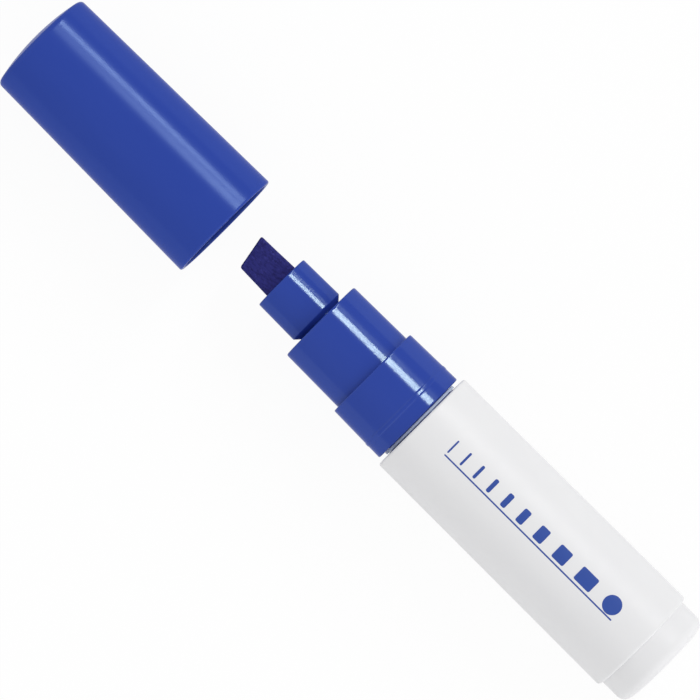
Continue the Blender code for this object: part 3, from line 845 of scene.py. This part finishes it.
def add_sealing_cup(scene):
    """Cup inside the cap that seals round the nib's sleeve, with fins that reach the cap's bore."""
    sizes = scene.marker_cap
    fits = scene.marker_fits
    bore = cap_bore(sizes)
    top, mouth = ends("inner_cap")
    cup_bore = across("nib_sleeve") + fits.slide
    radius = cup_bore + sizes.cup_wall
    inside = top + sizes.top_wall
    lip_round = sizes.cup_round / 3
    fin_start = top + sizes.cup_round * (1 + FILLET_SUPPORT)
    fin_shoulder = fin_start + sizes.top_round
    fin_end = top + sizes.fin_length

    def fin_reach(station):
        """Radius that the fins reach, just inside the cap's bore."""
        return bore(station) - fits.seat

    def plain(corners):
        """Stretch of the cup where the fins don't stand out."""
        return [(x, r, r) for x, r in rounded(corners)]

    top_edge = [
        (top, radius * CUP_FACE),
        (top, radius, sizes.cup_round),
        (fin_start, radius),
    ]
    lip_and_hollow = [
        (fin_end, radius),
        (mouth, radius, lip_round),
        (mouth, cup_bore, sizes.cup_round),
        (inside, cup_bore, sizes.cup_round),
        (inside, cup_bore * CUP_FACE),
    ]
    outline = [
        *plain(top_edge),
        (fin_start, radius, fin_reach(fin_start) - sizes.top_round),
        (fin_shoulder, radius, fin_reach(fin_shoulder)),
        (fin_end, radius, fin_reach(fin_end)),
        (fin_end, radius, radius),
        *plain(lip_and_hollow),
    ]
    rings = [
        [on_axis(top, 0.0, 0.0)],
        *[finned_circle(*ring, sizes.fins, sizes.fin_thickness) for ring in outline],
        [on_axis(inside, 0.0, 0.0)],
    ]
    finish = natural_polyethylene(scene.marker_colours)
    add_piece("inner_cap_cup", skin(rings, loops=False), finish, "cap", "inner_cap")


class MARKER_OT_cap(bpy.types.Operator):
    """Build the drafted cap with its domed top, and the finned sealing cup inside it"""

    bl_idname = "marker.cap"
    bl_label = "Cap"

    def execute(self, context):
        add_cap(context.scene)
        add_sealing_cup(context.scene)
        return {"FINISHED"}


# Nib


def add_nib(scene):
    """Flat bar that thins to the slanted writing edge, furrowed where it stands out of the sleeve."""
    sizes = scene.marker_nib
    low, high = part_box("nib")
    front = ends("nib_sleeve")[0]
    full = (high.y - low.y, high.z - low.z, sizes.corner)
    tip = (sizes.tip_width, sizes.tip_thickness, sizes.tip_corner)
    edge = low.x + math.tan(sizes.slant) * sizes.tip_width / 2
    shoulder = edge + sizes.edge_round

    def furrowed(station, section, slant):
        """Ring of the bar with the furrows and ridges that run along the fibres."""
        ring = bar(station, section, NIB_STEPS, slant)
        for point in ring:
            spot = Vector((point.x / sizes.furrow_run, *(point.yz / sizes.furrow_pitch)))
            out = Vector((0.0, point.y, point.z - AXIS_HEIGHT)).normalized()
            point += out * sizes.furrow_depth * noise.noise(spot)
        return ring

    rings = [[on_axis(high.x, 0.0, 0.0)], bar(high.x, full, NIB_STEPS), bar(front, full, NIB_STEPS)]
    for step in range(1, WEDGE_STEPS + 1):
        share = step / WEDGE_STEPS
        section = [a + (b - a) * share for a, b in zip(full, tip)]
        rings.append(furrowed(front + (shoulder - front) * share, section, sizes.slant * share))
    for step in range(1, EDGE_STEPS + 1):
        turn = math.pi / 2 * step / EDGE_STEPS
        inset = sizes.edge_round * (1 - math.cos(turn))
        section = (tip[0] - 2 * inset, tip[1] - 2 * inset, max(tip[2] - inset, tip[2] / 2))
        rings.append(furrowed(shoulder - sizes.edge_round * math.sin(turn), section, sizes.slant))
    middle = on_axis(edge, 0.0, 0.0)
    rings.append([point.lerp(middle, 1 - NIB_FACE) for point in rings[-1]])
    rings.append([middle])
    finish = bonded_polyester_fibre(scene.marker_colours, sizes)
    add_piece("chisel_nib", skin(rings, loops=False), finish, "nib", "nib")


class MARKER_OT_nib(bpy.types.Operator):
    """Build the fibre nib: a flat bar that thins to a slanted edge, furrowed along its fibres"""

    bl_idname = "marker.nib"
    bl_label = "Nib"

    def execute(self, context):
        add_nib(context.scene)
        return {"FINISHED"}


# Front


def nib_slot(scene):
    """Width, thickness and corner of the slot that the nib slides in."""
    slide = scene.marker_fits.slide
    low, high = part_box("nib")
    return high.y - low.y + 2 * slide, high.z - low.z + 2 * slide, scene.marker_nib.corner + slide


def shank_radius(sizes):
    """Radius of the shank that holds the sleeve in the nose."""
    return across("nib_sleeve") - sizes.sleeve_draft - sizes.sleeve_step


def tail_radius(scene):
    """Radius of the collar's tail, which holds it in the barrel."""
    return across("spring_cage") + scene.marker_fits.seat + scene.marker_front.tail_wall


def collar_rear_face(sizes):
    """Station of the collar's rear face, in front of the gasket."""
    return ends("barrel")[0] - sizes.neck


def add_sleeve(scene, finish):
    """Small cylinder with the nib's slot, an undercut behind it and its shank."""
    sizes = scene.marker_front
    front, shank_rear = ends("nib_sleeve")
    radius = across("nib_sleeve") - sizes.sleeve_draft
    shank = shank_radius(sizes)
    undercut_rear = ends("nose_section")[0] - sizes.undercut_gap
    undercut_front = undercut_rear - sizes.undercut
    outline = rounded([
        (front, radius * SLEEVE_FACE),
        (front, radius, sizes.sleeve_edge),
        (undercut_front, radius + sizes.sleeve_draft, sizes.sleeve_edge),
        (undercut_rear, shank),
        (shank_rear, shank, sizes.sleeve_edge),
        (shank_rear, shank * SHANK_FACE),
    ])
    slot = nib_slot(scene)
    rings = [circle(x, r) for x, r in outline]
    rings.append(bar(shank_rear, slot, TURN_STEPS))
    rings.append(bar(front + 2 * sizes.slot_edge, slot, TURN_STEPS))
    for step in range(FILLET_STEPS + 1):
        turn = math.pi / 2 * step / FILLET_STEPS
        grow = sizes.slot_edge * (1 - math.cos(turn))
        section = (slot[0] + 2 * grow, slot[1] + 2 * grow, slot[2] + grow)
        rings.append(bar(front + sizes.slot_edge * (1 - math.sin(turn)), section, TURN_STEPS))
    add_piece("sleeve", skin(rings, loops=True), finish, "marker", "nib_sleeve")


def add_nose(scene, finish):
    """Middle cylinder: the shank's socket, the nib's chamber, the web with the valve's hole and the tail."""
    sizes = scene.marker_front
    seat = scene.marker_fits.seat
    front, rear = ends("nose_section")
    radius = across("nose_section") - sizes.nose_draft
    step = ends("front_collar")[0] + sizes.socket - seat
    tail = across("spring_cage")
    socket = shank_radius(sizes) + seat
    socket_rear = ends("nib_sleeve")[1] + seat
    width, thickness, corner = nib_slot(scene)
    diagonal = math.atan2(thickness - 2 * corner, width - 2 * corner)
    nib_chamber = bar_reach(diagonal, width, thickness, corner) + seat
    valve_chamber = across("valve_stem") + sizes.flow_gap
    web_rear = ends("valve_seal")[0] - seat
    web_front = web_rear - sizes.web
    corners = [
        (front, socket, sizes.nose_edge / 2),
        (front, radius, sizes.nose_edge),
        (step, radius + sizes.nose_draft, sizes.nose_edge),
        (step, tail),
        (rear, tail, sizes.nose_edge),
        (rear, valve_chamber),
        (web_rear, valve_chamber),
        (web_rear, sizes.web_hole),
        (web_front, sizes.web_hole),
        (web_front, nib_chamber),
        (socket_rear, nib_chamber),
        (socket_rear, socket),
    ]
    add_piece("nose", turned(corners), finish, "marker", "nose_section")


def add_collar(scene, finish):
    """Large cylinder: the nose's socket, the snap bead, the gasket's groove and the tail with its latch."""
    sizes = scene.marker_front
    seat = scene.marker_fits.seat
    front, rear = ends("front_collar")
    barrel_front = ends("barrel")[0]
    face = collar_rear_face(sizes)
    tail = tail_radius(scene)
    radius = tail + sizes.neck_step
    groove = tail - sizes.neck_groove
    bore = across("spring_cage") + seat
    socket = across("nose_section") + sizes.socket_gap
    socket_rear = front + sizes.socket
    bead = face - sizes.bead_setback
    latch = barrel_front + sizes.latch

    def wall(station):
        """Radius of the drafted collar."""
        return radius + sizes.collar_draft * (station - front) / (face - front)

    corners = [
        (front, socket),
        (front, radius, sizes.collar_edge),
        *ridge(bead, sizes.bead_width, sizes.bead_height, wall),
        (face, wall(face), sizes.collar_edge),
        (face, groove),
        (barrel_front, groove),
        (barrel_front, tail),
        *ridge(latch, sizes.latch_width - 2 * seat, sizes.latch_height, lambda station: tail),
        (rear, tail, sizes.collar_edge),
        (rear, bore),
        (socket_rear, bore),
        (socket_rear, socket),
    ]
    add_piece("collar", turned(corners), finish, "marker", "front_collar")


def add_gasket(scene):
    """Soft ring in the gap behind the collar, swollen where the barrel squeezes it."""
    sizes = scene.marker_front
    front = collar_rear_face(sizes) + sizes.gasket_gap
    rear = ends("neck_gasket")[1] + sizes.gasket_swell / 2
    radius = across("neck_gasket") + sizes.gasket_swell
    bore = across("neck_gasket") - sizes.gasket_wall
    corners = [
        (front, bore),
        (front, radius, sizes.gasket_round),
        (rear, radius, sizes.gasket_round),
        (rear, bore),
    ]
    finish = moulded_silicone(scene.marker_colours)
    add_piece("gasket", turned(corners), finish, "marker", "neck_gasket")


class MARKER_OT_front(bpy.types.Operator):
    """Build the nib's sleeve, the nose, the collar and the gasket behind them"""

    bl_idname = "marker.front"
    bl_label = "Front"

    def execute(self, context):
        scene = context.scene
        finish = polished_abs(scene.marker_colours)
        add_sleeve(scene, finish)
        add_nose(scene, finish)
        add_collar(scene, finish)
        add_gasket(scene)
        return {"FINISHED"}


# Barrel


def reservoir_radius(sizes):
    """Radius of the reservoir inside the barrel."""
    return across("barrel") - sizes.draft - sizes.wall


def add_barrel(scene, finish):
    """Tube: thick round the front mouth, with the latch's groove in it, and thin round the reservoir."""
    sizes = scene.marker_barrel
    front_sizes = scene.marker_front
    front, rear = ends("barrel")
    face = front + sizes.setback
    radius = across("barrel") - sizes.draft
    bore = reservoir_radius(sizes)
    mouth = tail_radius(scene) + scene.marker_fits.seat
    mouth_rear = ends("front_collar")[1] + sizes.mouth_spare
    latch = front + front_sizes.latch
    groove = ridge(latch, front_sizes.latch_width, front_sizes.latch_height, lambda station: mouth)
    corners = [
        (face, mouth, sizes.edge / 2),
        (face, radius, sizes.edge),
        (rear, radius + sizes.draft, sizes.rear_edge),
        (rear, bore),
        (mouth_rear + bore - mouth, bore),
        (mouth_rear, mouth),
        *reversed(groove),
    ]
    add_piece("barrel_tube", turned(corners), finish, "marker", "barrel")


def add_plug(scene, finish):
    """Cup that closes the barrel: a spigot inside it and a stepped-down end outside."""
    sizes = scene.marker_barrel
    front, end = ends("rear_plug")
    radius = across("rear_plug")
    step = ends("barrel")[1] + sizes.plug_gap
    spigot = reservoir_radius(sizes) - scene.marker_fits.seat
    hollow = spigot - sizes.plug_wall
    hollow_end = end - sizes.plug_wall
    corners = [
        (end, 0.0),
        (end, radius, sizes.plug_round),
        (step, radius),
        (step, spigot),
        (front, spigot, sizes.plug_edge),
        (front, hollow),
        (hollow_end, hollow, sizes.plug_round),
        (hollow_end, 0.0),
    ]
    add_piece("plug", turned(corners), finish, "marker", "rear_plug")


class MARKER_OT_barrel(bpy.types.Operator):
    """Build the white barrel and the stepped-down plug in its rear"""

    bl_idname = "marker.barrel"
    bl_label = "Barrel"

    def execute(self, context):
        scene = context.scene
        finish = blasted_polypropylene(scene.marker_colours)
        add_barrel(scene, finish)
        add_plug(scene, finish)
        return {"FINISHED"}


# Print


def print_outline(first, last, foot, head, corner):
    """Rows of (side, from station, to station), from foot to head, of a mark with rounded corners."""
    straight = (head - foot) / 2 - corner
    half = []
    for step in range(PRINT_STEPS + 1):
        turn = math.pi / 2 * step / PRINT_STEPS
        half.append((corner * (1 - math.cos(turn)), corner * (1 - math.sin(turn))))
    for step in range(1, PRINT_STEPS + 1):
        half.append((corner + straight * step / PRINT_STEPS, 0.0))
    lower = [(foot + rise, first + inset, last - inset) for rise, inset in half]
    upper = [(head - rise, first + inset, last - inset) for rise, inset in half[:-1]]
    return [*lower, *reversed(upper)]


def add_film(bm, rows, barrel, lift):
    """Thin closed film over the rows of a printed mark, bent round the barrel and sunk into it as far."""
    front, rear = ends("barrel")
    radius = across("barrel") - barrel.draft
    layers = []
    for rise in (-lift, lift):
        layer = []
        for side, first, last in rows:
            row = []
            for station in (first, last):
                reach = radius + barrel.draft * (station - front) / (rear - front) + rise
                row.append(bm.verts.new(on_axis(station, reach, math.pi / 2 - side / radius)))
            layer.append(row)
        layers.append(layer)
    low, high = layers
    for near in range(len(rows) - 1):
        far = near + 1
        bm.faces.new((high[near][0], high[near][1], high[far][1], high[far][0]))
        bm.faces.new((low[near][0], low[far][0], low[far][1], low[near][1]))
        for end in (0, 1):
            bm.faces.new((low[near][end], high[near][end], high[far][end], low[far][end]))
    for row in (0, -1):
        bm.faces.new((low[row][0], low[row][1], high[row][1], high[row][0]))


def add_scale(scene):
    """Line-width scale: a rule, bars that grow wider along it, and a dot at its end."""
    sizes = scene.marker_print
    start = ends("barrel")[0] + sizes.start
    half_rule = sizes.rule / 2
    rule_foot = sizes.rule_side - half_rule
    rule_head = sizes.rule_side + half_rule
    bar_head = sizes.bar_foot + sizes.bar_height
    dot_foot = sizes.bar_foot + (sizes.bar_height - sizes.dot) / 2
    widths = [sizes.first_bar * sizes.growth**index for index in range(sizes.bars)]
    gap = (sizes.run - sizes.dot - sum(widths)) / sizes.bars
    marks = [(start, start + sizes.run, rule_foot, rule_head, half_rule)]
    station = start
    for width in widths:
        corner = min(sizes.bar_round, width / 2)
        marks.append((station, station + width, sizes.bar_foot, bar_head, corner))
        station += width + gap
    marks.append((station, station + sizes.dot, dot_foot, dot_foot + sizes.dot, sizes.dot / 2))
    bm = bmesh.new()
    for mark in marks:
        add_film(bm, print_outline(*mark), scene.marker_barrel, sizes.film)
    close(bm)
    add_piece("printed_scale", bm, pad_printed_ink(scene.marker_colours), "marker")


class MARKER_OT_print(bpy.types.Operator):
    """Print a plain line-width scale on the barrel: a rule, bars that grow wider, and a dot"""

    bl_idname = "marker.print"
    bl_label = "Print"

    def execute(self, context):
        add_scale(context.scene)
        return {"FINISHED"}


# Valve


def add_spring(scene):
    """Wound return spring."""
    sizes = scene.marker_spring
    front, rear = ends("return_spring")
    coil = across("return_spring") - sizes.wire
    first = front + sizes.wire
    rise = rear - front - 2 * sizes.wire
    pitch = rise / sizes.turns
    count = sizes.turns * COIL_STEPS
    middles = []
    rings = []
    for index in range(count + 1):
        turn = 2 * math.pi * index / COIL_STEPS
        middle = on_axis(first + rise * index / count, coil, turn)
        out = Vector((0.0, math.cos(turn), math.sin(turn)))
        lap = Vector((0.0, -math.sin(turn), math.cos(turn))) * (2 * math.pi * coil)
        side = (Vector((pitch, 0.0, 0.0)) + lap).normalized().cross(out)
        ring = []
        for step in range(WIRE_STEPS):
            lean = 2 * math.pi * step / WIRE_STEPS
            ring.append(middle + (out * math.cos(lean) + side * math.sin(lean)) * sizes.wire)
        middles.append(middle)
        rings.append(ring)
    rings = [[middles[0]], *rings, [middles[-1]]]
    finish = bare_steel("spring_steel_drawn", scene.marker_colours, line=0.5, gloss=(0.22, 0.34))
    spring = add_piece(
        "coil_spring", skin(rings, loops=False), finish, "marker", "return_spring"
    )
    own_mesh(spring)


class MARKER_OT_valve(bpy.types.Operator):
    """Dress the valve, its cage and the mixing balls, and wind the return spring"""

    bl_idname = "marker.valve"
    bl_label = "Valve"

    def execute(self, context):
        colours = context.scene.marker_colours
        plastic = natural_polyethylene(colours)
        dress_node("valve_stem", plastic)
        dress_node("spring_cage", plastic)
        dress_node("valve_seal", moulded_nitrile(colours))
        ball_steel = bare_steel("bearing_steel_ground", colours, line=1.2, gloss=(0.08, 0.16))
        dress_node("mixing_ball_1", ball_steel)
        dress_node("mixing_ball_2", ball_steel)
        add_spring(context.scene)
        return {"FINISHED"}


# Stage


def add_floor(scene):
    """Sheet of white paper under the marker."""
    bm = bmesh.new()
    bmesh.ops.create_grid(bm, x_segments=1, y_segments=1, size=scene.marker_studio.floor / 2)
    mesh = bpy.data.meshes.new("floor")
    bm.to_mesh(mesh)
    bm.free()
    mesh.materials.append(seamless_paper(scene.marker_colours))
    floor = bpy.data.objects.new("floor", mesh)
    scene.collection.objects.link(floor)


def add_softboxes(scene):
    """Area lamps beside and above the marker, in line with it, each facing its axis."""
    along = Vector((1.0, 0.0, 0.0))
    for name, (place, run, width, lean, radiance) in SOFTBOXES.items():
        lamp = bpy.data.lights.new(f"softbox_{name}", "AREA")
        lamp.shape = "RECTANGLE"
        lamp.size = run
        lamp.size_y = width
        lamp.energy = radiance * math.pi * run * width
        softbox = bpy.data.objects.new(lamp.name, lamp)
        away = Vector((0.0, math.sin(math.radians(lean)), math.cos(math.radians(lean))))
        turn = Matrix((along, away.cross(along), away)).transposed().to_4x4()
        spot = Vector((place, 0.0, AXIS_HEIGHT)) + away * scene.marker_studio.softbox_distance
        softbox.matrix_world = Matrix.Translation(spot) @ turn
        scene.collection.objects.link(softbox)


def light_room(scene):
    """White room, whose brightness depends on the direction."""
    world = bpy.data.worlds.new("studio_room")
    world.use_nodes = True
    tree = world.node_tree
    background = tree.nodes["Background"]
    background.inputs["Color"].default_value = (1.0, 1.0, 1.0, 1.0)
    view = add_node(tree, "TexCoord")
    parts = add_node(tree, "SeparateXYZ", links={"Vector": view.outputs["Generated"]})
    lengthways = add_node(tree, "Math", {"operation": "ABSOLUTE"}, links={0: parts.outputs["X"]})
    walls = add_node(
        tree,
        "MapRange",
        values={"To Min": ROOM[0], "To Max": ROOM[1]},
        links={"Value": lengthways.outputs[0]},
    )
    brightness = walls.outputs["Result"]
    for axis, (low, high) in ROOM_SLOPES.items():
        slope = add_node(
            tree,
            "MapRange",
            values={"From Min": -1.0, "From Max": 1.0, "To Min": low, "To Max": high},
            links={"Value": parts.outputs[axis]},
        )
        graded = add_node(
            tree, "Math", {"operation": "MULTIPLY"}, links={0: brightness, 1: slope.outputs["Result"]}
        )
        brightness = graded.outputs[0]
    tree.links.new(brightness, background.inputs["Strength"])
    scene.world = world


def aim_camera(scene):
    """Long lens above the marker, turned so that the marker lies across the picture's diagonal."""
    sizes = scene.marker_studio
    lens = bpy.data.cameras.new("camera")
    lens.lens = lens.sensor_width * sizes.distance / sizes.view_width
    lens.clip_end = 4 * sizes.distance
    camera = bpy.data.objects.new("camera", lens)
    back = Vector((math.sin(sizes.tilt), 0.0, math.cos(sizes.tilt)))
    up = Vector((0.0, 1.0, 0.0))
    axes = Matrix((up.cross(back), up, back)).transposed().to_4x4()
    spot = Vector((0.0, sizes.side, AXIS_HEIGHT)) + back * sizes.distance
    camera.matrix_world = Matrix.Translation(spot) @ axes @ Matrix.Rotation(sizes.roll, 4, "Z")
    scene.collection.objects.link(camera)
    scene.camera = camera
    scene.view_settings.view_transform = "Standard"


class MARKER_OT_stage(bpy.types.Operator):
    """Set up the white floor, the softboxes, the room's light and the camera"""

    bl_idname = "marker.stage"
    bl_label = "Stage"

    def execute(self, context):
        add_floor(context.scene)
        add_softboxes(context.scene)
        light_room(context.scene)
        aim_camera(context.scene)
        return {"FINISHED"}


# Add-on


class MARKER_PT_sidebar(bpy.types.Panel):
    """Sizes, colours and building steps of the paint marker"""

    bl_idname = "MARKER_PT_sidebar"
    bl_label = "Paint Marker"
    bl_space_type = "VIEW_3D"
    bl_region_type = "UI"
    bl_category = "Marker"

    def draw(self, context):
        for operator in OPERATORS:
            self.layout.operator(operator.bl_idname)
        for name, group in GROUPS.items():
            box = self.layout.box()
            box.label(text=group.__doc__)
            for field in group.__annotations__:
                box.prop(getattr(context.scene, name), field)


GROUPS = {
    "marker_fits": MarkerFits,
    "marker_cap": CapSizes,
    "marker_nib": NibSizes,
    "marker_front": FrontSizes,
    "marker_barrel": BarrelSizes,
    "marker_print": PrintSizes,
    "marker_spring": SpringSizes,
    "marker_studio": StudioSizes,
    "marker_colours": MarkerColours,
}
OPERATORS = (
    MARKER_OT_cap,
    MARKER_OT_nib,
    MARKER_OT_front,
    MARKER_OT_barrel,
    MARKER_OT_print,
    MARKER_OT_valve,
    MARKER_OT_stage,
)
CLASSES = (*GROUPS.values(), *OPERATORS, MARKER_PT_sidebar)


def register():
    for cls in CLASSES:
        bpy.utils.register_class(cls)
    for name, group in GROUPS.items():
        setattr(bpy.types.Scene, name, PointerProperty(type=group))


def unregister():
    for name in GROUPS:
        delattr(bpy.types.Scene, name)
    for cls in reversed(CLASSES):
        bpy.utils.unregister_class(cls)


def main():
    """Build the marker and its studio."""
    register()
    bpy.ops.marker.cap()
    bpy.ops.marker.nib()
    bpy.ops.marker.front()
    bpy.ops.marker.barrel()
    bpy.ops.marker.print()
    bpy.ops.marker.valve()
    bpy.ops.marker.stage()


if __name__ == "__main__":
    main()
